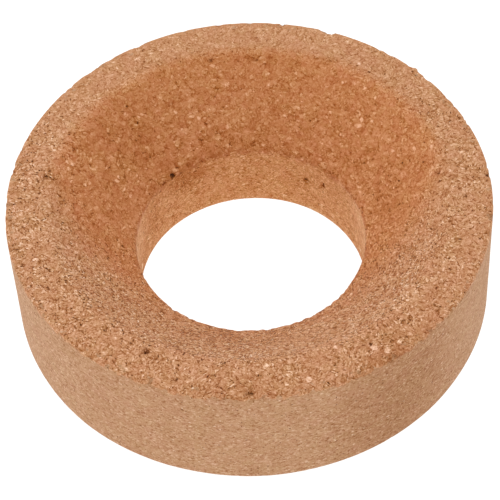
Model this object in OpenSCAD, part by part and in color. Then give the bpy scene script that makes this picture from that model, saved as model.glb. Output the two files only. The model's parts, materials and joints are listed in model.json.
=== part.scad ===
// Cork ring: a ring of pressed cork granules that holds a round-bottom flask upright on a bench.
// It is one solid with a flat rim, a cone-shaped seat for the flask and a straight hole below it.
// Sizes are in millimetres. +Z is up, along the ring's axis, and the origin is the middle of the
// underside, so the ring stands on the plane z = 0.

/* [Ring] */
// Outside diameter at the top of the side
ring_d = 140; // [112:1:200]
// Height of the ring
ring_h = 40; // [30:0.5:60]
// How far the side draws in on each side from its top down to the underside
side_draft = 0.5; // [0:0.1:3]

/* [Hole and seat] */
// Diameter of the straight hole
hole_d = 67; // [30:0.5:88]
// Height of the hole's straight wall, up to the foot of the seat
hole_h = 22.5; // [10:0.5:32]
// Width of the flat rim, from the top of the side in to the seat
rim_w = 12.5; // [6:0.5:18]

/* [Edges] */
// Radius of the soft edge between the rim and the seat
shoulder_r = 6; // [1:0.5:12]
// Radius of the edge between the seat and the hole
throat_r = 1.5; // [0.5:0.25:4]
// Radius of the nearly sharp edge between the side and the rim
rim_edge_r = 0.5; // [0.2:0.1:3]
// Radius of the worn edge between the side and the underside
foot_edge_r = 2.5; // [0.5:0.25:5]

/* [Hidden] */
$fn = 180;
// Straight steps along each round edge of the section
round_steps = 8;

ring_r = ring_d / 2;
foot_r = ring_r - side_draft;
hole_r = hole_d / 2;
seat_r = ring_r - rim_w;

// Sharp corners of half the ring's section, as [radius, height], anticlockwise
hole_foot = [hole_r, 0];
side_foot = [foot_r, 0];
side_top = [ring_r, ring_h];
seat_top = [seat_r, ring_h];
throat = [hole_r, hole_h];

function unit(v) = v / norm(v);

function turned(v, angle) = [
    v.x * cos(angle) - v.y * sin(angle),
    v.x * sin(angle) + v.y * cos(angle)
];

// Points of a round of radius r at corner p of an anticlockwise outline. The round touches the
// outline's edge from the corner before and its edge to the corner after, and turns through the
// angle that the outline turns there.
function rounded(p, before, after, r) =
    let (
        back = unit(before - p),
        ahead = unit(after - p),
        half_angle = acos(back * ahead) / 2,
        centre = p + r / sin(half_angle) * unit(back + ahead),
        first_spoke = p + r / tan(half_angle) * back - centre,
        turn = 180 - 2 * half_angle
    )
    [for (i = [0:round_steps]) centre + turned(first_spoke, turn * i / round_steps)];

// Half of the section: underside, worn edge, drafted side, flat rim, seat and hole wall
module section() {
    polygon(concat(
        [hole_foot],
        rounded(side_foot, hole_foot, side_top, foot_edge_r),
        rounded(side_top, side_foot, seat_top, rim_edge_r),
        rounded(seat_top, side_top, throat, shoulder_r),
        rounded(throat, seat_top, hole_foot, throat_r)
    ));
}

module cork_ring() {
    color([0.76, 0.56, 0.41]) rotate_extrude() section();
}

cork_ring();
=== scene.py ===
# %% [markdown]
# # A cork ring for round-bottom flasks
#
# The object is one body of pressed cork granules: a flat rim, a cone-shaped seat for the flask,
# a straight hole, an upright side and a flat underside. Its exact form comes from the packed
# CAD model. This script gives it the surface that pressed cork has: a slightly uneven form,
# torn edges, pits where a granule fell out, and a body of light, tan, reddish and dark crumbs.
#
# Everything is in metres, in the frame of the CAD model: +Z is up and the origin is the middle
# of the underside.

# %% Load the frame
import json
import math

import bpy
import numpy as np
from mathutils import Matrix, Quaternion, Vector


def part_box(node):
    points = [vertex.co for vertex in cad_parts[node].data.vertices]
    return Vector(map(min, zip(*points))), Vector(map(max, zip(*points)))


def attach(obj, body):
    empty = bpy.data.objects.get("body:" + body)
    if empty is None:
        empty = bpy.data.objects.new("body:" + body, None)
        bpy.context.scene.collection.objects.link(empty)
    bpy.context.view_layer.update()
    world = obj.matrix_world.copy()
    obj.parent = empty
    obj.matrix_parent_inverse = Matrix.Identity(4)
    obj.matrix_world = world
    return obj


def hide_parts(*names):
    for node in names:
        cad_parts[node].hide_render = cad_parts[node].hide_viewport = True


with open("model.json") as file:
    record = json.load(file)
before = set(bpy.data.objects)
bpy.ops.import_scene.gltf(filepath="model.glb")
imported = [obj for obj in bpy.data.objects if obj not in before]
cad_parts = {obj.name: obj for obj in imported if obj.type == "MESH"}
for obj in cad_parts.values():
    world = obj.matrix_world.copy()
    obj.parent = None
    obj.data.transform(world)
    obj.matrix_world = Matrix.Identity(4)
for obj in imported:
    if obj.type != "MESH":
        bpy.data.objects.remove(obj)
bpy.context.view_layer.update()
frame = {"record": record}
MM = 0.001

# %% [markdown]
# ## Sizes
#
# The outside radius and the height are read from the CAD node, and the hole's radius from its
# mount in the record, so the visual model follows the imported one. The other sizes of the
# section are named here once, with the same values as in the CAD model. Only the hole's lower
# edge differs: it is sharp there and has a slight round here, as a used edge has.

# %% Sizes of the section
node_low, node_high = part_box("cork_ring")
mounts = {mount["name"]: mount for mount in frame["record"]["mounts"]}
RING_R = round((node_high.x - node_low.x) / 2, 4)
RING_H = round(node_high.z, 4)
HOLE_R = mounts["hole"]["dims"]["r_mm"] * MM
SIDE_DRAFT = 0.5 * MM
HOLE_H = 22.5 * MM
RIM_W = 12.5 * MM
SEAT_R = RING_R - RIM_W
SHOULDER_ROUND = 6.0 * MM
THROAT_ROUND = 1.5 * MM
RIM_EDGE_ROUND = 0.5 * MM
FOOT_ROUND = 2.5 * MM
HOLE_FOOT_ROUND = 0.4 * MM
print(f"ring radius {RING_R / MM:.1f}, height {RING_H / MM:.1f}, hole radius {HOLE_R / MM:.1f} mm")

# %% [markdown]
# ## Camera
#
# A small object is best shot with a long lens from a little way off, which keeps its circles
# nearly true. The camera stands in front of the ring, on the -Y side, looks down by about 51
# degrees at a point inside the ring just below half its height, and leans a little sideways.

# %% Camera
CAMERA_DISTANCE = 0.7826
CAMERA_ELEVATION = math.radians(51.37)
CAMERA_ROLL = math.radians(-3.36)
CAMERA_LENS_MM = 191.9
CAMERA_AIM = Vector((-0.006 * RING_R, 0.0, 0.42 * RING_H))


def add_camera():
    """The camera stands CAMERA_DISTANCE from its aim, back along the line of sight. It is first
    turned to face the aim with its top edge level, then rolled about its own Z axis."""
    camera = bpy.data.objects.new("camera", bpy.data.cameras.new("camera"))
    bpy.context.scene.collection.objects.link(camera)
    camera.data.lens = CAMERA_LENS_MM
    back = Vector((0.0, -math.cos(CAMERA_ELEVATION), math.sin(CAMERA_ELEVATION)))
    camera.location = CAMERA_AIM + CAMERA_DISTANCE * back
    camera.rotation_mode = "QUATERNION"
    level = (-back).to_track_quat("-Z", "Y")
    camera.rotation_quaternion = level @ Quaternion((0.0, 0.0, 1.0), CAMERA_ROLL)
    bpy.context.scene.camera = camera
    return camera


camera = add_camera()
print("camera at", [round(v, 3) for v in camera.location], "lens", CAMERA_LENS_MM, "mm")

# %% [markdown]
# ## Light
#
# Small goods are mostly shot in a white tent, which lights them softly from all round. Here the
# tent is a plain white world. One wide lamp at the back left gives the slopes of the seat some
# direction, and a weak low one at the front left does the same for the side.

# %% Light
WHITE = (1.0, 1.0, 1.0, 1.0)
WORLD_STRENGTH = 0.94
# Each lamp's place and width in metres, and its power in watts
LAMPS = {
    "wide lamp": ((-0.75, 0.95, 1.3), 1.2, 6.0),
    "low lamp": ((-1.1, -0.85, 0.12), 0.4, 1.6),
}


def add_world():
    """A world of one plain white."""
    world = bpy.data.worlds.new("white tent")
    world.use_nodes = True
    background = world.node_tree.nodes["Background"]
    background.inputs["Color"].default_value = WHITE
    background.inputs["Strength"].default_value = WORLD_STRENGTH
    bpy.context.scene.world = world


def add_lamp(name, place, width, power):
    """A square area lamp at place, turned so that it shines at the camera's aim."""
    data = bpy.data.lights.new(name, "AREA")
    data.shape = "SQUARE"
    data.size = width
    data.energy = power
    lamp = bpy.data.objects.new(name, data)
    bpy.context.scene.collection.objects.link(lamp)
    lamp.location = place
    lamp.rotation_mode = "QUATERNION"
    lamp.rotation_quaternion = (CAMERA_AIM - lamp.location).to_track_quat("-Z", "Y")


bpy.context.scene.view_settings.view_transform = "Standard"
add_world()
for name, (place, width, power) in LAMPS.items():
    add_lamp(name, place, width, power)
print("world", WORLD_STRENGTH, "and", len(LAMPS), "lamps")

# %% [markdown]
# ## Floor
#
# The ring stands on a light table, a pale sheet that glows a little. A plain white floor would
# turn grey in the ring's shadow. The glow makes most of this floor's white instead, so the ring
# throws hardly any shadow on it, and it lights the side and the wall of the hole from below.
# The floor is so large that its edge shows only when the view is nearly level.

# %% Floor
FLOOR_R = 6.0
FLOOR_POINTS = 96
FLOOR_COLOUR = (0.2, 0.2, 0.2, 1.0)
FLOOR_ROUGHNESS = 0.9
FLOOR_GLOW = 0.98


def floor_material():
    """A dull light grey that also gives off its own white light."""
    paint = bpy.data.materials.new("pale floor")
    paint.use_nodes = True
    shader = paint.node_tree.nodes["Principled BSDF"]
    shader.inputs["Base Color"].default_value = FLOOR_COLOUR
    shader.inputs["Roughness"].default_value = FLOOR_ROUGHNESS
    shader.inputs["Emission Color"].default_value = WHITE
    shader.inputs["Emission Strength"].default_value = FLOOR_GLOW
    return paint


def add_floor():
    """A flat disc at z = 0: one face on the circle (FLOOR_R cos t, FLOOR_R sin t, 0)."""
    turn = np.linspace(0.0, 2.0 * np.pi, FLOOR_POINTS, endpoint=False)
    circle = np.stack([FLOOR_R * np.cos(turn), FLOOR_R * np.sin(turn), 0.0 * turn], axis=1)
    mesh = bpy.data.meshes.new("floor")
    mesh.from_pydata(circle.tolist(), [], [list(range(FLOOR_POINTS))])
    mesh.materials.append(floor_material())
    floor = bpy.data.objects.new("floor", mesh)
    bpy.context.scene.collection.objects.link(floor)
    return floor


floor = add_floor()
print(floor.name, "radius", FLOOR_R, "m, glow", FLOOR_GLOW)

# %% [markdown]
# ## The ring's form
#
# The CAD node is a plain turned solid. Pressed cork isn't: its granules stand a little proud or
# sunken, some fell out and left pits, and its edges have crumbled. A Displace modifier would
# need a dense mesh anyway, so the whole skin is worked out here as one closed grid: a path round
# the section in one direction, and the turn round the axis in the other. Each point then moves
# along its normal by a relief that is a sum of simple fields.
#
# The path comes first. Its corners are rounded, and its rows lie closer where the surface shows.

# %% The section as a path
# The spacing of the rows round a corner, and the fewest steps there
EDGE_STEP = 0.35 * MM
LEAST_STEPS = 4
# Corner as (radius, height), its round, and the row spacing along the stretch that follows it
SECTION = [
    ((HOLE_R, 0.0), HOLE_FOOT_ROUND, 2.6 * MM),
    ((RING_R - SIDE_DRAFT, 0.0), FOOT_ROUND, 1.15 * MM),
    ((RING_R, RING_H), RIM_EDGE_ROUND, 0.72 * MM),
    ((SEAT_R, RING_H), SHOULDER_ROUND, 0.58 * MM),
    ((HOLE_R, HOLE_H), THROAT_ROUND, 1.15 * MM),
]


def unit(v):
    """Vectors of length 1 along the last axis."""
    return v / np.linalg.norm(v, axis=-1, keepdims=True)


def section_path():
    """Points and outward normals, as (radius, height), anticlockwise round the section.

    At a corner with half angle h, a round of radius r has its centre r / sin(h) along the
    bisector and meets the edges r / tan(h) from the corner. A stretch between two rounds is
    straight, and its normal is its direction turned right by a quarter."""
    corner = np.array([c for c, _, _ in SECTION])
    radius = np.array([r for _, r, _ in SECTION])
    spacing = [s for _, _, s in SECTION]
    back, ahead = unit(np.roll(corner, 1, 0) - corner), unit(np.roll(corner, -1, 0) - corner)
    half = np.arccos((back * ahead).sum(1)) / 2
    centre = corner + (radius / np.sin(half))[:, None] * unit(back + ahead)
    first = corner + (radius / np.tan(half))[:, None] * back
    last = corner + (radius / np.tan(half))[:, None] * ahead
    points, normals = [], []
    for i in range(len(corner)):
        turn = np.pi - 2 * half[i]
        rows = max(LEAST_STEPS, math.ceil(radius[i] * turn / EDGE_STEP))
        begin = math.atan2(*(first[i] - centre[i])[::-1])
        angle = begin + turn * np.linspace(0, 1, rows + 1)
        spoke = np.stack([np.cos(angle), np.sin(angle)], 1)
        points.append(centre[i] + radius[i] * spoke)
        normals.append(spoke)
        run = first[(i + 1) % len(corner)] - last[i]
        rows = math.ceil(np.linalg.norm(run) / spacing[i])
        share = np.arange(1, rows)[:, None] / rows
        points.append(last[i] + share * run)
        normals.append(np.tile(unit(run)[::-1] * (1, -1), (rows - 1, 1)))
    return np.concatenate(points), np.concatenate(normals)


path, path_normal = section_path()
path_step = np.linalg.norm(np.roll(path, -1, 0) - path, axis=1)
print(len(path), "rows round the section, length", round(float(path_step.sum()) / MM, 1), "mm")

# %% [markdown]
# Next come the fields. Blender's own textures could move the points, but numbers worked out
# here are the same on every run and can be tested. All are built on the same idea: a lattice of
# cells whose numbers come from hashing the cell's own whole-number place. Blending the numbers
# of the eight corners round a point gives soft waves. A random point in each cell, and the
# distance to the nearest one, gives granules.

# %% Seeded fields
WORD = 0xFFFFFFFF
PLACE_FACTORS = (73856093, 19349663, 83492791)
CHANNEL_FACTOR = 2654435761
# Each mixing step: how far the bits shift, and the factor that follows
MIXING = ((15, 2246822519), (13, 3266489917))
LAST_SHIFT = 16
# In cells: more than any seed's distance from a point, and how steeply a granule rises from its
# border
FURTHER_THAN_ANY = 9.0
SEAM_SLOPE = 2


def hashed(cell, channel):
    """Whole-number places, as an array of (x, y, z), to numbers from 0 to 1: each coordinate is
    multiplied by its own large odd number, the products are joined by exclusive or, and the
    bits are then mixed by shifts and multiplications."""
    x, y, z = np.moveaxis((cell.astype(np.int64) & WORD) * PLACE_FACTORS, -1, 0)
    h = (x ^ y ^ z ^ ((channel + 1) * CHANNEL_FACTOR)) & WORD
    for shift, factor in MIXING:
        h = ((h ^ (h >> shift)) * factor) & WORD
    return (h ^ (h >> LAST_SHIFT)) / WORD


def waves(points, size, channel):
    """A soft field from -1 to 1 with hills about size across: the hashed numbers of the eight
    lattice corners round a point, blended by the smooth weights 3t² - 2t³."""
    place = points / size
    cell = np.floor(place)
    t = place - cell
    t = t * t * (3 - 2 * t)
    total = np.zeros(len(points))
    for corner in np.ndindex(2, 2, 2):
        weight = np.prod(np.where(corner, t, 1 - t), axis=1)
        total += weight * hashed(cell + corner, channel)
    return 2 * total - 1


def granules(points, size, channel):
    """For each point, a random number of its granule and how deep inside it the point lies:
    0 at the border between two granules and 1 at a granule's middle. Each lattice cell holds
    one random seed point, and a granule is all that lies nearest to one seed."""
    place = points / size
    cell = np.floor(place)
    nearest = np.full(len(points), FURTHER_THAN_ANY)
    second = nearest.copy()
    number = np.zeros(len(points))
    for neighbour in np.ndindex(3, 3, 3):
        other = cell + neighbour - 1
        seed = other + np.stack([hashed(other, channel + k) for k in (1, 2, 3)], 1)
        distance = np.linalg.norm(seed - place, axis=1)
        closer = distance < nearest
        second = np.where(closer, nearest, np.minimum(second, distance))
        number = np.where(closer, hashed(other, channel), number)
        nearest = np.where(closer, distance, nearest)
    return number, np.clip((second - nearest) * SEAM_SLOPE, 0, 1)


sample = np.random.default_rng(1).uniform(-RING_R, RING_R, (1000, 3))
sample_waves = waves(sample, 10 * MM, 0)
print("waves", sample_waves.min().round(2), "to", sample_waves.max().round(2))

# %% [markdown]
# The pits and nicks are round dents. Cutting each with a Boolean would leave thin faces and sharp
# borders, so they lower the skin as one more field. A few large ones are placed one by one, since
# they are what the eye finds first: a deep pit in the left of the rim, others in the seat and the
# hole's wall, and chips out of the far edge of the rim.

# %% Chosen pits and nicks
# How far out from its middle a dent stays flat, as a share of its radius
DENT_FLOOR = 0.35
# Angle in degrees, place as (radius, height) in mm, the dent's own radius and depth in mm. One
# has a depth below 0: a crumb that stands proud of the far edge.
CHOSEN_DENTS = [
    (-120.5, (60.1, 40.0), 1.3, 1.2),
    (167.0, (59.4, 40.0), 1.1, 0.8),
    (165.0, (61.4, 40.0), 1.0, 0.6),
    (-92.3, (68.0, 40.0), 1.4, 0.8),
    (-60.0, (62.0, 40.0), 0.8, 0.6),
    (-110.0, (66.0, 40.0), 0.9, 0.6),
    (-117.3, (61.4, 40.0), 0.8, 0.5),
    (-33.0, (63.1, 40.0), 1.0, 0.6),
    (-3.0, (62.0, 40.0), 0.9, 0.5),
    (48.0, (33.5, 14.2), 1.3, 1.0),
    (58.0, (33.5, 13.2), 1.1, 0.8),
    (131.0, (33.8, 22.5), 1.1, 0.8),
    (7.5, (55.5, 38.6), 1.0, 0.7),
    (99.0, (56.7, 39.3), 1.0, 0.7),
    (85.0, (55.5, 38.6), 0.9, 0.5),
    (66.6, (69.7, 40.0), 1.3, 1.9),
    (67.4, (69.7, 40.0), 1.4, 1.4),
    (68.3, (69.9, 40.0), 1.5, 0.8),
    (79.0, (70.0, 40.0), 1.0, 0.8),
    (42.1, (69.6, 39.8), 1.1, -0.55),
    (3.5, (69.4, 40.0), 1.5, 0.7),
    (-9.0, (69.3, 40.0), 1.4, 0.6),
]


def on_ring(angle, radius, height):
    """Points at angles in radians, radii and heights."""
    return np.stack([radius * np.cos(angle), radius * np.sin(angle), height], axis=-1)


def chosen_dents():
    """Centres, radii and depths of the chosen dents, in metres."""
    angle = np.radians([a for a, _, _, _ in CHOSEN_DENTS])
    radius, height = np.array([place for _, place, _, _ in CHOSEN_DENTS]).T * MM
    size = np.array([(r, d) for _, _, r, d in CHOSEN_DENTS]) * MM
    return on_ring(angle, radius, height), size[:, 0], size[:, 1]


def dents(points, centres, radii, depths):
    """The depth of round dents at each point. With t as distance / radius, a dent is depth deep
    for t under DENT_FLOOR and rises to nothing at t = 1 by the smooth step 3s² - 2s³. A crumb
    that stands proud has a depth below 0. Where two overlap, the larger one counts."""
    result = np.zeros(len(points))
    for centre, radius, depth in zip(centres, radii, depths):
        distance = np.sqrt(((points - centre) ** 2).sum(1)) / radius
        s = np.clip((1 - distance) / (1 - DENT_FLOOR), 0, 1)
        dent = depth * s * s * (3 - 2 * s)
        result = np.where(np.abs(dent) > np.abs(result), dent, result)
    return result


print(len(CHOSEN_DENTS), "chosen dents")

# %% [markdown]
# The many small dents are scattered at random over the skin. They lie closer together where a
# ring gets knocked: along the rim's outer edge, the throat and the foot, and most of all just
# inside the front of the rim's edge, which has crumbled.

# %% Scattered pits and nicks
SCATTER_SEED = 7
# How many dents, and the ranges of their radii and depths in mm: over the skin, along each of
# the three edges, and along the crumbled front
SKIN_DENTS = (320, (0.4, 0.8), (0.10, 0.32))
EDGE_DENTS = (90, (0.6, 1.6), (0.1, 0.45))
FRONT_DENTS = (36, (0.5, 1.0), (0.25, 0.6))
# Where the front has crumbled: its angles in degrees, and how far inside the edge in mm
FRONT_ANGLES = (-125.0, -45.0)
FRONT_INSET = (0.2, 1.6)


def scattered_dents(random):
    """Centres, radii and depths of the small dents. Over the skin, each row of the path is as
    likely to hold one as its share of the area, which is its length times its radius."""
    count, radius_range, depth_range = SKIN_DENTS
    area = path_step * path[:, 0]
    row = random.choice(len(path), count, p=area / area.sum())
    centres = [on_ring(random.uniform(0, 2 * np.pi, count), path[row, 0], path[row, 1])]
    radii = [random.uniform(*radius_range, count) * MM]
    depths = [random.uniform(*depth_range, count) * MM]

    count, radius_range, depth_range = EDGE_DENTS
    for radius, height in ((RING_R, RING_H), (HOLE_R, HOLE_H), (RING_R - SIDE_DRAFT, 0.0)):
        angle = random.uniform(0, 2 * np.pi, count)
        centres.append(on_ring(angle, np.full(count, radius), np.full(count, height)))
        radii.append(random.uniform(*radius_range, count) * MM)
        depths.append(random.uniform(*depth_range, count) * MM)

    count, radius_range, depth_range = FRONT_DENTS
    angle = np.radians(random.uniform(*FRONT_ANGLES, count))
    radius = RING_R - random.uniform(*FRONT_INSET, count) * MM
    centres.append(on_ring(angle, radius, np.full(count, RING_H)))
    radii.append(random.uniform(*radius_range, count) * MM)
    depths.append(random.uniform(*depth_range, count) * MM)
    return np.concatenate(centres), np.concatenate(radii), np.concatenate(depths)


scattered = scattered_dents(np.random.default_rng(SCATTER_SEED))
all_dents = [np.concatenate(pair) for pair in zip(chosen_dents(), scattered)]
print(len(all_dents[1]), "dents, the deepest", round(float(all_dents[2].max()) / MM, 2), "mm")

# %% [markdown]
# Some marks are colour only: dark marks, light chips of clean cork, and soft patches a little
# darker or lighter than their surroundings. Most of the dark marks lie in the chosen pits, where
# they are painted shade; the others are bits of bark. Several patches are painted shade and
# painted light on the seat's slope and the hole's wall; the rest make the cork a little darker or
# lighter in places. The mesh is too coarse to draw a crisp chip, but not to say how far each point
# is from the edge of one. The material later cuts the chip out of that distance, which gives it a
# sharp and ragged border.

# %% Marks
# Angle in degrees, place as (radius, height) in mm, half sizes in mm (outwards, round the ring,
# up), and a turn in degrees about the upright
# Most of these dark marks lie in the chosen pits and are painted shade there; the rest are bits of
# bark
DARK_BITS_AND_PIT_SHADE = [
    (-120.6, (60.0, 40.0), (0.7, 0.9, 3), 20),
    (167.0, (59.4, 40.0), (1.1, 0.4, 3), -15),
    (165.0, (61.3, 40.0), (0.8, 0.35, 3), 40),
    (-92.0, (67.7, 40.0), (0.5, 1.0, 3), 0),
    (-60.0, (62.1, 40.0), (0.5, 0.7, 3), 0),
    (-32.5, (63.1, 40.0), (0.4, 1.1, 3), 40),
    (-110.0, (65.9, 40.0), (0.8, 0.4, 3), 20),
    (-157.0, (67.7, 40.0), (0.5, 0.6, 3), 0),
    (-3.0, (62.1, 40.0), (0.4, 1.3, 3), -50),
    (-117.0, (61.3, 40.0), (0.4, 0.3, 3), 0),
    (-53.0, (65.2, 40.0), (0.9, 0.4, 3), 30),
    (-78.0, (69.0, 40.0), (0.5, 0.8, 3), 0),
    (3.5, (69.2, 40.0), (0.5, 0.9, 3), 0),
    (7.5, (55.5, 38.6), (1.0, 0.5, 3), 0),
    (4.0, (55.3, 38.5), (0.8, 0.4, 3), 0),
    (99.0, (56.7, 39.3), (0.35, 0.7, 3), 10),
    (85.0, (55.5, 38.6), (0.35, 0.6, 3), 30),
    (-22.0, (43.0, 29.5), (0.6, 0.5, 3), 0),
    (106.0, (41.4, 28.5), (0.6, 0.5, 3), 0),
    (130.0, (53.7, 37.2), (0.5, 0.5, 3), 0),
    (131.0, (33.7, 22.0), (2, 1.0, 0.7), 0),
    (48.0, (33.5, 14.2), (2, 0.8, 1.0), 0),
    (58.0, (33.5, 13.1), (2, 0.7, 0.8), 0),
]
CLEAN = [
    (-60.0, (63.8, 40.0), (1.3, 0.9, 3), 15),
    (-57.7, (66.6, 40.0), (0.8, 1.3, 3), 30),
    (-54.0, (66.4, 40.0), (0.7, 0.7, 3), 20),
    (-78.2, (66.1, 40.0), (1.2, 0.9, 3), 10),
    (-68.5, (58.2, 39.6), (0.9, 0.6, 3), 0),
    (-87.8, (59.3, 39.8), (0.6, 0.8, 3), 0),
    (-83.5, (66.4, 40.0), (0.5, 0.6, 3), 40),
    (-164.0, (63.7, 40.0), (0.9, 0.7, 3), 0),
    (-29.0, (61.0, 40.0), (0.5, 0.7, 3), 20),
    (54.8, (61.3, 40.0), (0.7, 0.6, 3), 30),
    (118.5, (65.2, 40.0), (0.5, 1.0, 3), 0),
    (6.2, (58.8, 39.9), (0.5, 0.6, 3), 0),
    (95.0, (50.0, 34.5), (0.6, 0.7, 3), 0),
    (48.8, (55.3, 38.5), (0.6, 0.6, 3), 0),
    (17.0, (56.5, 39.2), (0.5, 0.7, 3), 0),
    (26.0, (48.0, 33.1), (0.5, 0.7, 3), 0),
    (156.0, (50.0, 34.5), (0.6, 0.5, 3), 0),
    (14.0, (33.5, 4.0), (2, 1.1, 0.6), 0),
    (168.5, (33.5, 4.0), (2, 1.1, 0.8), 0),
]
# The same, with the tone that the patch adds in its middle in place of the turn
PATCHES_AND_PAINTED_LIGHT = [
    # Painted shade: the next four darken the hole's wall and the seat's slope at the back left,
    # the left and the right
    (124.0, (33.5, 18.5), (5, 13, 8), -0.13),
    (135.0, (44.0, 30.0), (14, 15, 14), -0.07),
    (15.0, (40.0, 27.0), (9, 18, 9), -0.05),
    (152.0, (33.5, 15.0), (5, 9, 16), -0.06),
    (147.0, (46.4, 32.0), (2, 2, 3), 0.14),
    (-58.2, (62.4, 40.0), (2, 2, 3), 0.14),
    (-56.0, (69.7, 20.0), (9, 34, 60), -0.10),
    (-100.0, (41.0, 28.0), (14, 24, 14), -0.08),
    (-94.0, (66.5, 40.0), (6, 22, 3), -0.05),
    (-57.0, (62.5, 40.0), (7, 15, 3), -0.06),
    # Painted light: the last two lighten the hole's wall at its left and right
    (168.0, (33.5, 18.0), (6, 15, 14), 0.11),
    (10.0, (33.5, 18.0), (6, 15, 14), 0.09),
]
print(len(DARK_BITS_AND_PIT_SHADE), "dark marks,", len(CLEAN), "light marks,", len(PATCHES_AND_PAINTED_LIGHT), "patches")

# %% [markdown]
# A mark is an ellipsoid that stands through the skin. It is measured in its own frame, which
# looks outwards from the axis at the mark's angle.

# %% How deep a point lies in a mark
# Points further outside a mark than this, in mm, needn't be told apart
FAR_OUTSIDE = -2.0


def in_frame(points, angle, place, turn=0.0):
    """Points in a mark's own frame: outwards, round the ring and up from its middle."""
    way = math.radians(angle)
    middle = np.array((place[0] * math.cos(way), place[0] * math.sin(way), place[1])) * MM
    own = points - middle
    way += math.radians(turn)
    return np.stack([own[:, 0] * math.cos(way) + own[:, 1] * math.sin(way),
                     own[:, 1] * math.cos(way) - own[:, 0] * math.sin(way), own[:, 2]], axis=1)


def mark_depth(points, marks):
    """How far inside the nearest mark each point lies, in mm, and below 0 outside. With d as
    the distance from the middle in half sizes, that is (1 - d) times the smallest half size."""
    deepest = np.full(len(points), FAR_OUTSIDE)
    for angle, place, half, turn in marks:
        own = in_frame(points, angle, place, turn) / (np.array(half) * MM)
        deepest = np.maximum(deepest, (1 - np.linalg.norm(own, axis=1)) * min(half))
    return deepest


def patch_tone_and_painted_light(points):
    """The sum of the patches' tones, some of them painted shade and painted light, each falling
    off as (1 - d²)² to its half sizes.
    """
    total = np.zeros(len(points))
    for angle, place, half, tone in PATCHES_AND_PAINTED_LIGHT:
        own = in_frame(points, angle, place) / (np.array(half) * MM)
        total += tone * np.clip(1 - (own ** 2).sum(1), 0, 1) ** 2
    return total


pit_angle, pit_place, _, _ = CHOSEN_DENTS[0]
pit_middle = on_ring(math.radians(pit_angle), pit_place[0] * MM, pit_place[1] * MM)[None]
print("the first pit lies", mark_depth(pit_middle, DARK_BITS_AND_PIT_SHADE).round(2), "mm inside a dark mark")

# %% [markdown]
# Now the skin. Every part of the section has its own share of each field: the rim and the seat
# were cut, so their granules stand out most, while the side and the hole's wall were pressed
# smooth in the mould. A point's normal says how much it belongs to each of them. The front of
# the seat is worn, so its granules stand out less. The underside only moves inwards, so that
# the ring still stands on z = 0.

# %% The skin
AROUND = 606
WAVE_SIZE, WAVE_HEIGHT = 17 * MM, 0.10 * MM
# The borders of granules and dents are shaken in waves of this size and height
SHAKE_SIZE, SHAKE = 1.6 * MM, 0.5 * MM
GRANULE_SIZE = 2.4 * MM
CRUMB_SIZE = 1.3 * MM
# How high crumbs stand as a share of granules, and the number whose granule is level
CRUMB_SHARE = 0.6
LEVEL = 0.6
# The ring is a little out of round: its outer wall lies this much further in near FLAT_ANGLE
FLAT_DEPTH = 0.35 * MM
FLAT_ANGLE = math.radians(45)
# The ways the five faces look, as (outwards, up): the rim, side, hole, underside and seat, and
# the height of the granule relief on each
SEAT_SLOPE = np.array([HOLE_H - RING_H, SEAT_R - HOLE_R])
FACING = np.array([(0, 1), (1, 0), (-1, 0), (0, -1), SEAT_SLOPE / np.linalg.norm(SEAT_SLOPE)])
UNDERSIDE, SEAT = 3, 4
GRANULE_HEIGHT = np.array([0.14, 0.05, 0.07, 0.05, 0.22]) * MM
FACE_SHARPNESS = 8
# The share of its relief that the front of the seat has lost, at most
MOST_WORN = 0.5


def face_shares(normal):
    """How much each row belongs to each of the five faces: its normal times the way a face
    looks, where that is above 0, to the power of FACE_SHARPNESS."""
    share = np.clip(normal @ FACING.T, 0, None) ** FACE_SHARPNESS
    return share / share.sum(1, keepdims=True)


def smooth_skin():
    """Points and normals of the skin before its relief, a row for each point of the path. A
    point is its place on the path, turned by its angle. Its radius is less by FLAT_DEPTH times
    the fourth power of the cosine of the angle from FLAT_ANGLE, fading towards the axis."""
    turn = np.linspace(0, 2 * np.pi, AROUND, endpoint=False)
    radius, angle = np.meshgrid(path[:, 0], turn, indexing="ij")
    flat = np.clip(np.cos(angle - FLAT_ANGLE), 0, 1) ** 4
    radius = radius - FLAT_DEPTH * flat * (radius / RING_R) ** 6
    height = np.repeat(path[:, 1:], AROUND, axis=1)
    points = on_ring(angle, radius, height).reshape(-1, 3)
    normal = on_ring(angle, np.repeat(path_normal[:, :1], AROUND, 1),
                     np.repeat(path_normal[:, 1:], AROUND, 1)).reshape(-1, 3)
    return points, normal


def skin():
    """The skin's points, and the depth of the dents there. Each point moves along its normal by
    the relief: soft waves, plus granules and crumbs that stand proud or sunken by their own
    random number and slope down to their borders, less the dents."""
    smooth, normal = smooth_skin()
    share = np.repeat(face_shares(path_normal), AROUND, axis=0)
    ragged = smooth + SHAKE * np.stack([waves(smooth, SHAKE_SIZE, 20 + k) for k in range(3)], 1)
    number, inside = granules(ragged, GRANULE_SIZE, 40)
    crumb, crumb_inside = granules(ragged, CRUMB_SIZE, 50)
    relief = WAVE_HEIGHT * waves(smooth, WAVE_SIZE, 0)
    worn = share[:, SEAT] * np.clip(-smooth[:, 1] / RING_R, 0, MOST_WORN)
    relief += (share @ GRANULE_HEIGHT * (1 - worn)
               * ((number - LEVEL) * inside + CRUMB_SHARE * (crumb - LEVEL) * crumb_inside))
    pit = dents(ragged, *all_dents)
    relief -= pit
    relief = np.where(share[:, UNDERSIDE] > 0.5, np.minimum(relief, 0), relief)
    return smooth + relief[:, None] * normal, pit


skin_points, skin_pits = skin()
print(len(skin_points), "points, from z =", skin_points[:, 2].min(), "to", skin_points[:, 2].max())

# %% [markdown]
# The points become one mesh, a grid that closes on itself both ways. It carries the depth of the
# pits, which the material turns into painted shade, the distances to the marks and the shade of
# the patches, part of it painted shade and painted light, as attributes, which the material reads.

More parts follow.
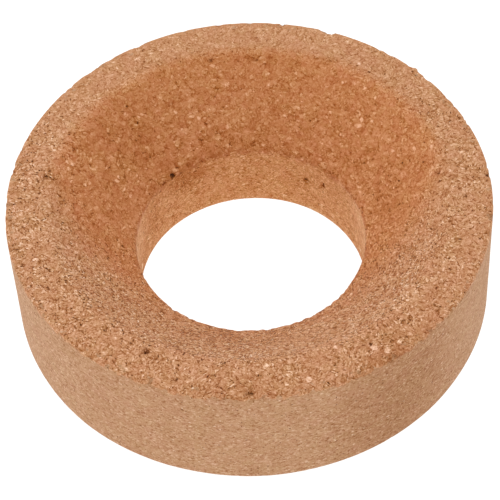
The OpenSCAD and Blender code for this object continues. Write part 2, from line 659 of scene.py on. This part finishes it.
# %% The mesh
# Pits deeper than this, in mm, get no more painted shade
DEEPEST_PIT_SHADE = 0.8


def closed_grid(rows, columns):
    """Faces of a grid that closes on itself both ways, each a square of four neighbours. Going
    round the axis first and along the path second makes them point outwards."""
    row, column = np.meshgrid(np.arange(rows), np.arange(columns), indexing="ij")
    next_row, next_column = (row + 1) % rows, (column + 1) % columns
    corners = [row * columns + column, row * columns + next_column,
               next_row * columns + next_column, next_row * columns + column]
    return np.stack(corners, axis=-1).reshape(-1, 4)


def grid_object(name, points, faces):
    """A smooth-shaded object at the origin with these points and four-sided faces."""
    mesh = bpy.data.meshes.new(name)
    mesh.vertices.add(len(points))
    mesh.vertices.foreach_set("co", points.astype(np.float32).ravel())
    mesh.loops.add(faces.size)
    mesh.loops.foreach_set("vertex_index", faces.astype(np.int32).ravel())
    mesh.polygons.add(len(faces))
    mesh.polygons.foreach_set("loop_start", np.arange(0, faces.size, 4, dtype=np.int32))
    mesh.update(calc_edges=True)
    mesh.shade_smooth()
    made = bpy.data.objects.new(name, mesh)
    bpy.context.scene.collection.objects.link(made)
    return made


def add_values(made, name, values):
    """Writes one number per point into the object's mesh, under this name."""
    attribute = made.data.attributes.new(name, "FLOAT", "POINT")
    attribute.data.foreach_set("value", values.astype(np.float32))


cork = grid_object("pressed_cork", skin_points, closed_grid(len(path), AROUND))
# The pits' depth, which the material turns into painted shade
add_values(cork, "painted_pit_shade", np.minimum(skin_pits / MM, DEEPEST_PIT_SHADE))
# Distances to the dark marks, most of which are painted shade in the pits
add_values(cork, "bark", mark_depth(skin_points, DARK_BITS_AND_PIT_SHADE))
add_values(cork, "clean", mark_depth(skin_points, CLEAN))
# The patches' tones, some of them painted shade and painted light
add_values(cork, "shade", patch_tone_and_painted_light(skin_points))
print(2 * len(cork.data.polygons), "triangles, valid:", not cork.data.validate())

# %% [markdown]
# ## The cork
#
# Pressed cork is a body of granules, so its colour is a solid pattern: the same granule shows on
# every face that cuts it. That rules out an unwrapped texture and asks for patterns that read
# Object coordinates. Voronoi cells make good granules, each with one random tone, and crisp
# borders between them. Several sizes are needed, since crumbs are sieved to a range.
#
# Granules and flecks are each used several times, so each is a node group. First come a few
# small helpers that keep the node code short.

# %% Node helpers
def node(tree, kind, settings=None, **inputs):
    """Adds a node of this kind, sets its properties, and sets or links its inputs by name."""
    made = tree.nodes.new("ShaderNode" + kind)
    for name, value in (settings or {}).items():
        setattr(made, name, value)
    for name, value in inputs.items():
        connect(tree, made.inputs[name.replace("_", " ")], value)
    return made


def connect(tree, socket, value):
    """Links an output socket to this input, or sets the input to a plain value."""
    if isinstance(value, bpy.types.NodeSocket):
        tree.links.new(value, socket)
    else:
        socket.default_value = value


def calculate(tree, operation, *values, clamp=False):
    """A Math node on these values, and its output."""
    made = tree.nodes.new("ShaderNodeMath")
    made.operation = operation
    made.use_clamp = clamp
    for socket, value in zip(made.inputs, values):
        connect(tree, socket, value)
    return made.outputs[0]


def vector(tree, operation, *values):
    """A Vector Math node on these values, and its output. A plain number scales a vector."""
    made = tree.nodes.new("ShaderNodeVectorMath")
    made.operation = operation
    sockets = [made.inputs[0], made.inputs["Scale"]] if operation == "SCALE" else made.inputs
    for socket, value in zip(sockets, values):
        connect(tree, socket, value)
    return made.outputs["Value" if operation == "LENGTH" else "Vector"]


def step(tree, value, low, high):
    """0 where value is at low, 1 at high, and a soft step between them."""
    made = node(tree, "MapRange", {"interpolation_type": "SMOOTHSTEP"},
                Value=value, From_Min=low, From_Max=high)
    return made.outputs["Result"]


def summed(tree, start, *parts):
    """start plus weight * (value - middle) for each part (value, weight, middle). A weight can
    be a socket where the middle is 0."""
    total = start
    for value, weight, middle in parts:
        total = calculate(tree, "MULTIPLY_ADD", value, weight, total)
        if middle:
            total = calculate(tree, "SUBTRACT", total, weight * middle)
    return total


def blended(tree, share, first, second, kind="FLOAT"):
    """first where share is 0 and second where it is 1, as numbers (FLOAT) or colours (RGBA)."""
    made = node(tree, "Mix", {"data_type": kind})
    which = {"FLOAT": 0, "RGBA": 2}[kind]
    sockets = [[s for s in made.inputs if s.name == name] for name in ("Factor", "A", "B")]
    connect(tree, sockets[0][0], share)
    connect(tree, sockets[1][which], first)
    connect(tree, sockets[2][which], second)
    return [s for s in made.outputs if s.enabled][0]


def new_group(name, inputs, outputs):
    """An empty node group with these (name, kind) sockets, and its two end nodes."""
    group = bpy.data.node_groups.new(name, "ShaderNodeTree")
    for direction, sockets in (("INPUT", inputs), ("OUTPUT", outputs)):
        for socket_name, kind in sockets:
            group.interface.new_socket(socket_name, in_out=direction,
                                       socket_type="NodeSocket" + kind)
    return group, group.nodes.new("NodeGroupInput"), group.nodes.new("NodeGroupOutput")


def placed(tree, group, **inputs):
    """Places a node group in a tree with these inputs, and gives its outputs."""
    made = tree.nodes.new("ShaderNodeGroup")
    made.node_tree = group
    for name, value in inputs.items():
        connect(tree, made.inputs[name.replace("_", " ")], value)
    return made.outputs


print("node helpers ready")

# %% [markdown]
# A granule group divides the place by the granule size. One Voronoi pattern gives each cell its
# random numbers, and a second, with the distance to the border, gives the seams between cells.

# %% Granules
# The largest turn of a grain, in radians, which is about a full one
MOST_TURN = 6.3
# The width of a seam, as a share of the granule's size
SEAM_WIDTH = 0.14


def granule_group():
    """Three random numbers that are even over a granule, and Body, 0 on a seam and 1 inside.
    Tone is 4 (u - 0.5)³ for an even number u from 0 to 1, so most granules are near the
    middle, at 0, and a few are light or dark. Tint is from 0 to 1, and Turn is an angle."""
    group, start, end = new_group("granules", [("Vector", "Vector"), ("Size", "Float")],
                                  [("Tone", "Float"), ("Tint", "Float"), ("Turn", "Float"),
                                   ("Body", "Float")])
    scale = calculate(group, "DIVIDE", 1.0, start.outputs["Size"])
    place = vector(group, "SCALE", start.outputs["Vector"], scale)
    cells = node(group, "TexVoronoi", {"feature": "F1"}, Vector=place, Scale=1.0)
    seams = node(group, "TexVoronoi", {"feature": "DISTANCE_TO_EDGE"}, Vector=place, Scale=1.0)
    numbers = node(group, "SeparateColor", None, Color=cells.outputs["Color"])
    uneven = calculate(group, "SUBTRACT", numbers.outputs["Red"], 0.5)
    square = calculate(group, "MULTIPLY", uneven, uneven)
    cube = calculate(group, "MULTIPLY", square, uneven)
    turn = calculate(group, "MULTIPLY", numbers.outputs["Blue"], MOST_TURN)
    connect(group, end.inputs["Tone"], calculate(group, "MULTIPLY", cube, 4.0))
    connect(group, end.inputs["Tint"], numbers.outputs["Green"])
    connect(group, end.inputs["Turn"], turn)
    connect(group, end.inputs["Body"], step(group, seams.outputs["Distance"], 0.0, SEAM_WIDTH))
    return group


granule_nodes = granule_group()
print("group", granule_nodes.name, "with", len(granule_nodes.nodes), "nodes")

# %% [markdown]
# A fleck group makes sparse bits: light slivers of clean cork, or dark bits of bark and open
# pores. Only a share of the cells holds one. The distance from the cell's seed is measured
# along the axes, which gives a chip square shoulders, and each has its own size and strength.

# %% Flecks
def fleck_group():
    """Strength: 0 outside a fleck, and its own number from 0.4 to 1 inside it. A fleck reaches
    out from its cell's seed by Reach times another number of its own, from 0.5 to 1.2."""
    group, start, end = new_group(
        "flecks", [("Vector", "Vector"), ("Spacing", "Float"), ("Share", "Float"),
                   ("Reach", "Float")], [("Strength", "Float")])
    scale = calculate(group, "DIVIDE", 1.0, start.outputs["Spacing"])
    place = vector(group, "SCALE", start.outputs["Vector"], scale)
    cells = node(group, "TexVoronoi", {"feature": "F1", "distance": "CHEBYCHEV"},
                 Vector=place, Scale=1.0)
    numbers = node(group, "SeparateColor", None, Color=cells.outputs["Color"])
    chosen = calculate(group, "LESS_THAN", numbers.outputs["Red"], start.outputs["Share"])
    size = calculate(group, "MULTIPLY_ADD", numbers.outputs["Green"], 0.7, 0.5)
    reach = calculate(group, "MULTIPLY", size, start.outputs["Reach"])
    inside = step(group, calculate(group, "SUBTRACT", reach, cells.outputs["Distance"]), 0.0, 0.05)
    strength = calculate(group, "MULTIPLY_ADD", numbers.outputs["Blue"], 0.6, 0.4)
    fleck = calculate(group, "MULTIPLY", inside, strength)
    connect(group, end.inputs["Strength"], calculate(group, "MULTIPLY", fleck, chosen))
    return group


fleck_nodes = fleck_group()
print("group", fleck_nodes.name, "with", len(fleck_nodes.nodes), "nodes")

# %% [markdown]
# Next, the colours. On each face, cork's tones from dark bark to cream lie the same step apart on
# a screen in red, green and blue, so a ramp of five stops holds them all. The faces differ a
# little: the seat and the hole are browner, and the hole's wall is also lighter, partly painted
# light that makes up for the shade in the hole. The front of the seat is a touch redder and paler
# than the rest of the seat, and that paleness is a painted reflection of the white surroundings.
# The side is greyer, partly a painted reflection of the white floor. One ramp with a tint would
# shift all its tones alike, so each face has a ramp of its own, worked out from two colours.

# %% Cork colours
def linear(shade):
    """A screen colour, 0 to 255, as linear light, by the sRGB curve."""
    share = np.array(shade) / 255
    return np.where(share <= 0.04045, share / 12.92, ((share + 0.055) / 1.055) ** 2.4)


# For each face, its middle tone as a screen colour, and how far its light and dark tones lie
# from the middle one. "front" is the front of the seat.
FACES = {
    "rim": ((193, 137, 95), (81, 97, 113)),
    "seat": ((191, 124, 75), (62, 78, 91)),
    # The front's paler colour is a painted reflection of the white surroundings
    "front": ((193, 137, 93), (67, 97, 121)),
    # The side's greyer colour is partly a painted reflection of the white floor
    "side": ((181, 135, 99), (74, 89, 101)),
    # The hole's lighter colour is partly painted light that makes up for the shade in the hole
    "hole": ((206, 146, 93), (80, 112, 140)),
}
RAMP_STOPS = (0.0, 0.25, 0.5, 0.75, 1.0)
# The darkest colour of all, in the deepest pits where painted shade piles up, and how much fainter
# light tones are than dark
DARKEST = (78, 38, 12)
LIGHT_SHARE = 0.80


def tone_ramp(tree, tone, face):
    """A face's colour for a tone from 0 to 1. A stop at share s has the face's middle colour plus
    swing * (2s - 1), times LIGHT_SHARE above the middle, and the first stop is DARKEST."""
    middle, swing = np.array(FACES[face])
    made = node(tree, "ValToRGB", None, Fac=tone)
    stops = made.color_ramp.elements
    while len(stops) < len(RAMP_STOPS):
        stops.new(0.5)
    for stop, share in zip(stops, RAMP_STOPS):
        stop.position = share
        strength = (2 * share - 1) * (LIGHT_SHARE if share > 0.5 else 1.0)
        shade = np.clip(middle + swing * strength, DARKEST, 255) if share else DARKEST
        stop.color = (*linear(shade).tolist(), 1.0)
    return made.outputs["Color"]


print({face: linear(middle).round(3).tolist() for face, (middle, _) in FACES.items()})

# %% [markdown]
# The ring has two kinds of skin. The rim and the seat were cut, so each crumb shows crisp. The
# side and the wall of the hole were pressed against metal, which smeared the crumbs into flat
# dashes. Painting each on its own faces would need a hard border along an edge of the mesh, but
# on the real ring the crust has broken away unevenly. So each border is a soft step in how far
# a point is from the axis, how high it is and how near the front of the ring, and noise shakes
# the distance and the height, which makes the border ragged.
#
# Sizes in the node tree are in millimetres, because the place is first multiplied by 1000.

# %% Where each skin lies
RIM_R, TOP, BORE_R, THROAT_H, BROW_R = (v / MM for v in (RING_R, RING_H, HOLE_R, HOLE_H, SEAT_R))
# Y where the front of the ring begins, and where it is full
FRONT = (22.0, -40.0)
# How far noise shakes a border outwards and upwards
SHAKE_OUT, SHAKE_UP = 2.4, 6.0
# How far the crust reaches over the rim's edge, away from the front of the ring
LIP = 1.4
# Where each skin begins and where it is full, outwards and upwards. The shake lifts a height by
# half of SHAKE_UP on the average, so these stand about 3 mm above the border itself.
SIDE_OUT, SIDE_UP = (RIM_R - 3.0, RIM_R - 2.4), (TOP + 2.5, TOP + 2.0)
WALL_OUT, WALL_UP = (BORE_R + 1.3, BORE_R + 0.7), (THROAT_H + 2.6, THROAT_H + 0.6)
SLOPE_OUT = (BROW_R + 1.0, BROW_R - 6.0)
ABOVE_FOOT = (0.3, 2.0)
# How far out the seat's brown begins and is full, and how far out its own crumbs reach: each at
# the back of the ring, and what is added at the front. Where the brown draws back at the front,
# the paler colour left there is a painted reflection of the white surroundings.
BROWN_BEGINS = (BROW_R + 4.0, -12.0)
BROWN_FULL = (BROW_R - 1.5, -38.0)
SEAT_REACH = (BROW_R - 1.0, 2.5)


def around(tree, place):
    """The distance from the axis and the height, both shaken, and the front of the ring as a
    share from 0 to 1."""
    parts = node(tree, "SeparateXYZ", None, Vector=place).outputs
    shake = node(tree, "TexNoise", None, Vector=place, Scale=0.7, Detail=2.0)
    flat = vector(tree, "MULTIPLY", place, (1.0, 1.0, 0.0))
    out = summed(tree, vector(tree, "LENGTH", flat), (shake.outputs["Fac"], SHAKE_OUT, 0.5))
    torn = node(tree, "TexNoise", None, Vector=place, Scale=0.45, Detail=2.0, Roughness=0.6)
    high = calculate(tree, "MULTIPLY_ADD", torn.outputs["Fac"], SHAKE_UP, parts["Z"])
    return out, high, step(tree, parts["Y"], *FRONT)


def led(tree, front, at_back, added):
    """A value that is at_back at the back of the ring, and at_back + added at its front."""
    return calculate(tree, "MULTIPLY_ADD", front, added, at_back)


def pressed_skins(tree, out, high, front):
    """Shares from 0 to 1: the crust, which is the side and a lip over the rim's edge that is
    missing at the front, the side alone, and the wall of the hole."""
    edge = led(tree, front, RIM_R - LIP, LIP)
    lip = step(tree, out, edge, calculate(tree, "ADD", edge, 0.4))
    side = calculate(tree, "MULTIPLY", step(tree, high, *SIDE_UP), step(tree, out, *SIDE_OUT))
    hole = calculate(tree, "MULTIPLY", step(tree, out, *WALL_OUT), step(tree, high, *WALL_UP))
    return calculate(tree, "MAXIMUM", side, lip), side, hole


def seat_skins(tree, place, out, front, hole):
    """The seat's brown, from 0 to 1: full just inside the rim, but coming in slowly down the slope
    at the front of the ring, where the paler colour in its place is a painted reflection of the
    white surroundings, and absent on the underside. The slope of the seat as a share. And how
    coarse the cork is: 1 at the back of the seat, -1 at its front and 0 on the rim and in the
    hole."""
    height = node(tree, "SeparateXYZ", None, Vector=place).outputs["Z"]
    brown = step(tree, out, led(tree, front, *BROWN_BEGINS), led(tree, front, *BROWN_FULL))
    brown = calculate(tree, "MULTIPLY", brown, step(tree, height, *ABOVE_FOOT))
    sloped = step(tree, out, *SLOPE_OUT)
    reach = led(tree, front, *SEAT_REACH)
    inside = step(tree, out, calculate(tree, "ADD", reach, 2.0),
                  calculate(tree, "SUBTRACT", reach, 2.0))
    inside = calculate(tree, "MULTIPLY", inside, calculate(tree, "SUBTRACT", 1.0, hole))
    return brown, sloped, calculate(tree, "MULTIPLY", led(tree, front, 1.0, -2.0), inside)


print("side from", SIDE_OUT[0], "mm out, hole's wall to", WALL_OUT[0], "mm out")

# %% [markdown]
# On the cut faces, a knife went through the granules. Each large one has its own grain, so all
# that lies in it is drawn out one way: smaller crumbs, light slivers and dark cracks. A single
# noise would look like sand. So four sizes of granule and four kinds of fleck are added up,
# each with its own weight. At the back of the seat the crumbs are large with light bits. At its
# front they are fine with dark cracks. The coarse value leads the weights from one to the other.

# %% Cut faces
LARGE, MIDDLE, SMALL, CRUMB = 2.3, 1.15, 0.72, 0.38
GRAIN_AXIS = (0.2, 0.3, 0.93)
# Factors on the place along and across a large granule's grain. A small one along the grain
# draws out what lies in the granule.
FLAKY = (0.6, 1.25, 1.25)
THIN = (0.32, 1.4, 1.4)
# Flecks: their spacing in mm, the share of cells that hold one, and their reach in spacings
SLIVERS = {"Spacing": 1.5, "Share": 0.14, "Reach": 0.26}
CHIPS = {"Spacing": 1.9, "Share": 0.20, "Reach": 0.30}
PORES = {"Spacing": 1.9, "Share": 0.14, "Reach": 0.14}
CRACKS = {"Spacing": 1.2, "Share": 0.38, "Reach": 0.22}
# The weight of each part where coarse is 0, and how much it grows for each 1 of coarse
WEIGHTS = {
    "broad": (1.0, 0.8),
    "crumb": (0.64, -0.29),
    "slivers": (0.05, 0.14),
    "chips": (0.08, 0.37),
    "cracks": (-0.37, 0.12),
}


def part_weight(tree, name, coarse):
    """The weight of a part of the cut faces, which changes with how coarse the cork is."""
    plain, growth = WEIGHTS[name]
    return calculate(tree, "MULTIPLY_ADD", coarse, growth, plain)


def cut_flecks(tree, place, flaky, thin, coarse):
    """The light slivers and chips and the dark pores and cracks, as parts to be summed."""
    slivers = placed(tree, fleck_nodes, Vector=thin, **SLIVERS)["Strength"]
    chips = placed(tree, fleck_nodes, Vector=flaky, **CHIPS)["Strength"]
    pores = placed(tree, fleck_nodes, Vector=place, **PORES)["Strength"]
    cracks = placed(tree, fleck_nodes, Vector=thin, **CRACKS)["Strength"]
    return ((slivers, part_weight(tree, "slivers", coarse), 0.0),
            (chips, part_weight(tree, "chips", coarse), 0.0), (pores, -0.16, 0.01),
            (cracks, part_weight(tree, "cracks", coarse), 0.0))


def cut_tone(tree, place, coarse):
    """Tone of the cut faces, about 0.5: crisp granules of four sizes, flecks, and dark gaps
    along some of the seams. A large granule's tint says how busy it is inside: clean cork is
    smooth, and cork with bark in it is mottled. That tint is also given back."""
    large = placed(tree, granule_nodes, Vector=place, Size=LARGE)
    middle = placed(tree, granule_nodes, Vector=place, Size=MIDDLE)
    turned = node(tree, "VectorRotate", None, Vector=place, Axis=GRAIN_AXIS,
                  Angle=large["Turn"]).outputs[0]
    flaky = vector(tree, "MULTIPLY", turned, FLAKY)
    thin = vector(tree, "MULTIPLY", turned, THIN)
    small = placed(tree, granule_nodes, Vector=flaky, Size=SMALL)
    crumb = placed(tree, granule_nodes, Vector=flaky, Size=CRUMB)
    grit = node(tree, "TexNoise", None, Vector=place, Scale=3.2, Detail=1.0, Roughness=0.8)
    fine = summed(tree, 0.0, (small["Tone"], 0.41, 0.0),
                  (crumb["Tone"], part_weight(tree, "crumb", coarse), 0.0),
                  (grit.outputs["Fac"], 0.38, 0.5))
    broad = summed(tree, 0.0, (large["Tone"], 0.09, 0.0), (middle["Tone"], 0.13, 0.0))
    busy = calculate(tree, "MULTIPLY_ADD", large["Tint"], 0.7, 0.62)
    some = node(tree, "TexNoise", None, Vector=place, Scale=0.6, Detail=1.0).outputs["Fac"]
    gaps = calculate(tree, "MULTIPLY", calculate(tree, "SUBTRACT", 1.0, middle["Body"]),
                     step(tree, some, 0.50, 0.60))
    borders = calculate(tree, "SUBTRACT", 1.0, large["Body"])
    tone = summed(tree, 0.5, (broad, part_weight(tree, "broad", coarse), 0.0),
                  (calculate(tree, "MULTIPLY", fine, busy), 1.0, 0.0), (gaps, -0.20, 0.1),
                  (borders, -0.06, 0.15), *cut_flecks(tree, place, flaky, thin, coarse))
    return tone, large["Tint"]


print("granules of", LARGE, MIDDLE, SMALL, "and", CRUMB, "mm")

# %% [markdown]
# On the pressed faces, the mould flattened the crumbs, so the pattern is squeezed in height.
# Fewer parts show: two sizes of granule, grit, dark dashes and light streaks.

# %% Pressed faces
PRESSED_MIDDLE, PRESSED_SMALL = 1.7, 1.0
# Factors on the place, larger in height, which flattens what is drawn there
SQUEEZE = (1.6, 1.6, 2.3)
STREAK_SQUEEZE = (0.9, 0.9, 2.5)
DASHES = {"Spacing": 1.5, "Share": 0.18, "Reach": 0.19}
STREAKS = {"Spacing": 1.5, "Share": 0.22, "Reach": 0.18}


def pressed_tone(tree, place):
    """Tone of the pressed faces, about 0.5: flat granules, grit, dashes and streaks."""
    squeezed = node(tree, "Mapping", None, Vector=place, Scale=SQUEEZE).outputs[0]
    middle = placed(tree, granule_nodes, Vector=squeezed, Size=PRESSED_MIDDLE)
    small = placed(tree, granule_nodes, Vector=squeezed, Size=PRESSED_SMALL)
    grit = node(tree, "TexNoise", None, Vector=squeezed, Scale=1.7, Detail=2.0, Roughness=0.8)
    dashes = placed(tree, fleck_nodes, Vector=squeezed, **DASHES)
    stretched = vector(tree, "MULTIPLY", place, STREAK_SQUEEZE)
    streaks = placed(tree, fleck_nodes, Vector=stretched, **STREAKS)
    return summed(tree, 0.5, (middle["Tone"], 0.14, 0.0), (small["Tone"], 0.44, 0.0),
                  (grit.outputs["Fac"], 0.53, 0.5), (dashes["Strength"], -0.84, 0.02),
                  (streaks["Strength"], 0.72, 0.02))


print("pressed faces squeezed by", SQUEEZE)

# %% [markdown]
# The pattern isn't equally strong all over. The back of the ring is calmer, its left is busier,
# and the front of the seat is the busiest, with deep darks and fainter light bits. Separate
# materials would show a border, so a soft share of each place scales the tone's distance from
# its middle.

# %% How strong the pattern is
STRENGTH = 0.92
# Where each part of the ring begins and where it is full, in mm, and what it adds. The seat
# loses less at the back than the rim does.
BACK_Y, BACK_LOSS, BACK_SEAT_GAIN = (10.0, 66.0), -0.27, 0.14
LEFT_X, LEFT_GAIN = (-45.0, -62.0), 0.20
FRONT_SEAT_Y, FRONT_SEAT_GAIN = (0.0, -35.0), 0.65
# On the front of the seat, light tones lose half their strength, all tones rise a little, and
# none is darker than the limit
LIGHT_LOSS, FRONT_SEAT_RISE, DARK_LIMIT = -0.5, 0.02, 0.14


def levelled(tree, place, tone, sloped):
    """The tone with its distance from 0.5 scaled by where it lies, and the front of the seat
    as a share from 0 to 1."""
    parts = node(tree, "SeparateXYZ", None, Vector=place).outputs
    front_seat = calculate(tree, "MULTIPLY", step(tree, parts["Y"], *FRONT_SEAT_Y), sloped)
    loss = summed(tree, BACK_LOSS, (sloped, BACK_SEAT_GAIN, 0.0))
    strong = calculate(tree, "MULTIPLY_ADD", step(tree, parts["Y"], *BACK_Y), loss, STRENGTH)
    left = calculate(tree, "MULTIPLY", step(tree, parts["X"], *LEFT_X), LEFT_GAIN)
    strong = calculate(tree, "ADD", strong, left)
    strong = calculate(tree, "MULTIPLY_ADD", front_seat, FRONT_SEAT_GAIN, strong)
    tone = calculate(tree, "MULTIPLY_ADD", calculate(tree, "SUBTRACT", tone, 0.5), strong, 0.5)
    light = calculate(tree, "MAXIMUM", calculate(tree, "SUBTRACT", tone, 0.5), 0.0)
    light = calculate(tree, "MULTIPLY", light, front_seat)
    tone = summed(tree, tone, (light, LIGHT_LOSS, 0.0), (front_seat, FRONT_SEAT_RISE, 0.0))
    limit = calculate(tree, "MULTIPLY", front_seat, DARK_LIMIT)
    return calculate(tree, "MAXIMUM", tone, limit), front_seat


print("pattern strength", STRENGTH, "and", STRENGTH + FRONT_SEAT_GAIN, "on the front of the seat")

# %% [markdown]
# The marks come from the mesh's attributes. The depth of a pit darkens the tone there, which is
# painted shade. Most dark marks and several patches are painted shade too, and two patches are
# painted light. Noise tears the distance from a mark's edge before it is cut, which makes the
# mark's border ragged. Slow patches over all stand for the way the granules were mixed.

# %% Marks in the material
# How much each mark adds to the tone: in pits it is painted shade, most dark marks are painted
# shade in pits, and the patches are partly painted shade and painted light
MARK_TONES = {"painted_pit_shade": -0.22, "bark": -0.31, "clean": 0.36, "shade": 1.0}
# How far noise tears a mark's edge, in mm, and how much the slow patches add to the tone
TEAR = 1.2
PATCHY = 0.12


def marked(tree, place, tone):
    """The tone with slow patches, painted shade inside pits, and the marks. Most of the dark marks
    are painted shade in pits, and some patches are painted shade and painted light. The colour of
    the slow patches is also given back."""
    patches = node(tree, "TexNoise", None, Vector=place, Scale=0.16, Detail=3.0, Roughness=0.6)
    tear = node(tree, "TexNoise", None, Vector=place, Scale=2.4, Detail=1.0).outputs["Fac"]
    marks = {name: node(tree, "Attribute", {"attribute_name": name}).outputs["Fac"]
             for name in MARK_TONES}
    marks["bark"] = step(tree, summed(tree, marks["bark"], (tear, TEAR, 0.5)), -0.05, 0.25)
    marks["clean"] = step(tree, summed(tree, marks["clean"], (tear, -TEAR, 0.5)), -0.05, 0.15)
    parts = [(marks[name], strength, 0.0) for name, strength in MARK_TONES.items()]
    tone = summed(tree, tone, (patches.outputs["Fac"], PATCHY, 0.5), *parts)
    return tone, patches.outputs["Color"]


print("marks:", ", ".join(MARK_TONES))

# %% [markdown]
# The material joins them all. The tone picks a colour from each face's ramp, and the same tone
# gives the bump, since dark bits lie a little lower. Cork is dull, with hardly any gloss, and a
# faint warm sheen stands for the fuzz of its cut cells.

# %% The cork material
# How far the borders of crumbs are shaken, and how much of a pressed face the hole's wall is
RAGGED = 0.35
HOLE_PRESSED = 0.25
ROUGH_CUT, ROUGH_PRESSED_GAIN = 0.65, 0.25
SPECULAR = 0.12
SHEEN, SHEEN_ROUGHNESS, SHEEN_TINT = 0.10, 0.5, (1.0, 0.85, 0.66, 1.0)
BUMP_STRENGTH, BUMP_DISTANCE = 0.35, 0.3 * MM


def cork_colour(tree, tone, shares, tint, warmth):
    """The rim's ramp, covered in turn by the ramps of the faces in shares, and a small turn of
    hue by large granule (tint) and by slow patch (warmth)."""
    colour = tone_ramp(tree, tone, "rim")
    for face, share in shares.items():
        colour = blended(tree, share, colour, tone_ramp(tree, tone, face), "RGBA")
    green = node(tree, "SeparateColor", None, Color=warmth).outputs["Green"]
    hue = summed(tree, 0.5, (tint, 0.005, 0.5), (green, 0.012, 0.5))
    return node(tree, "HueSaturation", None, Hue=hue, Color=colour).outputs["Color"]


def cork_material():
    """Pressed cork, with its pattern in Object coordinates."""
    material = bpy.data.materials.new("pressed cork")
    material.use_nodes = True
    tree = material.node_tree
    shader = tree.nodes["Principled BSDF"]
    place = vector(tree, "SCALE", node(tree, "TexCoord").outputs["Object"], 1 / MM)
    out, high, front = around(tree, place)
    crust, side, hole = pressed_skins(tree, out, high, front)
    brown, sloped, coarse = seat_skins(tree, place, out, front, hole)

    # Crumbs have ragged borders, so the place is shaken before they are drawn
    shake = node(tree, "TexNoise", None, Vector=place, Scale=1.1, Detail=2.0)
    centred = vector(tree, "SUBTRACT", shake.outputs["Color"], (0.5, 0.5, 0.5))
    ragged = vector(tree, "MULTIPLY_ADD", centred, (RAGGED, RAGGED, RAGGED), place)
    cut, tint = cut_tone(tree, ragged, coarse)
    pressed = calculate(tree, "MULTIPLY_ADD", hole, HOLE_PRESSED, crust, clamp=True)
    tone = blended(tree, pressed, cut, pressed_tone(tree, ragged))
    tone, front_seat = levelled(tree, place, tone, sloped)
    tone, warmth = marked(tree, place, tone)

    # The front of the seat's ramp is paler by a painted reflection, the hole's is partly painted
    # light against the shade in the hole, and the side's is partly a painted reflection of the
    # floor
    shares = {"front": front_seat, "seat": brown, "hole": hole, "side": side}
    connect(tree, shader.inputs["Base Color"], cork_colour(tree, tone, shares, tint, warmth))
    walls = calculate(tree, "ADD", hole, side)
    rough = calculate(tree, "MULTIPLY_ADD", walls, ROUGH_PRESSED_GAIN, ROUGH_CUT)
    connect(tree, shader.inputs["Roughness"], rough)
    shader.inputs["Specular IOR Level"].default_value = SPECULAR
    shader.inputs["Sheen Weight"].default_value = SHEEN
    shader.inputs["Sheen Roughness"].default_value = SHEEN_ROUGHNESS
    shader.inputs["Sheen Tint"].default_value = SHEEN_TINT
    bump = node(tree, "Bump", None, Strength=BUMP_STRENGTH, Distance=BUMP_DISTANCE, Height=tone)
    connect(tree, shader.inputs["Normal"], bump.outputs["Normal"])
    return material


cork.data.materials.append(cork_material())
print("material on", cork.name, "with", len(cork.data.materials[0].node_tree.nodes), "nodes")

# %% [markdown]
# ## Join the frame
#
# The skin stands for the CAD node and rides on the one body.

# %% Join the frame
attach(cork, "root")
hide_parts("cork_ring")
